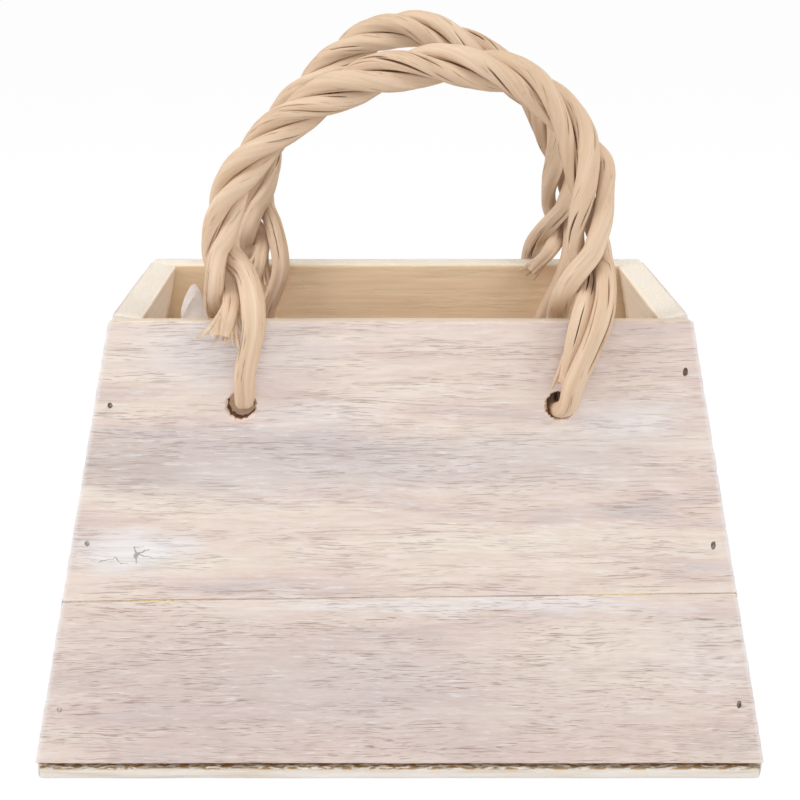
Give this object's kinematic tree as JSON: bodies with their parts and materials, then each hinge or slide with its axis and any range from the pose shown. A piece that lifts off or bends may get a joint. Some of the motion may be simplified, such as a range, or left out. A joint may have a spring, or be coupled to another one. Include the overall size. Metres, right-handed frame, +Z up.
{
  "type": "wooden planter crate",
  "caption": "Open bag-shaped wooden crate with leaning whitewashed board walls nailed on a thin base, a film liner inside and twisted vine handles threaded through the long walls.",
  "frame": {"origin": "middle of the base's underside", "axes": "+Z up, +X to the right along the long walls, -Y out of the front wall"},
  "size_m": [0.2, 0.12, 0.2032],
  "materials": {
    "whitewashed_wood": "matt whitewash rubbed into brushed softwood, streaked along the grain",
    "base_wood": "thin pale board, lightly whitewashed, sawn edges",
    "nail_steel": "dull wire brads, set a little below the surface",
    "vine": "peeled dry vine, matt, with lengthwise cracks and frayed ends",
    "film": "thin clear film, crumpled"
  },
  "bodies": {
    "crate": {"front_lower_board": "whitewashed_wood", "front_upper_board": "whitewashed_wood", "rear_lower_board": "whitewashed_wood", "rear_upper_board": "whitewashed_wood", "left_end_lower_board": "whitewashed_wood", "left_end_upper_board": "whitewashed_wood", "right_end_lower_board": "whitewashed_wood", "right_end_upper_board": "whitewashed_wood", "base_board": "base_wood", "front_nail_left_1": "nail_steel", "front_nail_left_2": "nail_steel", "front_nail_left_3": "nail_steel", "front_nail_right_1": "nail_steel", "front_nail_right_2": "nail_steel", "front_nail_right_3": "nail_steel", "rear_nail_left_1": "nail_steel", "rear_nail_left_2": "nail_steel", "rear_nail_left_3": "nail_steel", "rear_nail_right_1": "nail_steel", "rear_nail_right_2": "nail_steel", "rear_nail_right_3": "nail_steel", "base_nail_front_1": "nail_steel", "base_nail_front_2": "nail_steel", "base_nail_front_3": "nail_steel", "base_nail_rear_1": "nail_steel", "base_nail_rear_2": "nail_steel", "base_nail_rear_3": "nail_steel", "base_nail_left_end_1": "nail_steel", "base_nail_left_end_2": "nail_steel", "base_nail_right_end_1": "nail_steel", "base_nail_right_end_2": "nail_steel", "film_liner": "film"},
    "front_handle": {"front_handle_vine": "vine"},
    "rear_handle": {"rear_handle_vine": "vine"}
  },
  "joints": [
    {"name": "front_handle_rock", "type": "hinge", "parent": "crate", "child": "front_handle", "pos_m": [0, -0.04665, 0.10317], "axis": [1, 0, 0], "range_deg": [-5, 5]},
    {"name": "rear_handle_rock", "type": "hinge", "parent": "crate", "child": "rear_handle", "pos_m": [0, 0.04665, 0.10317], "axis": [1, 0, 0], "range_deg": [-5, 5]}
  ]
}
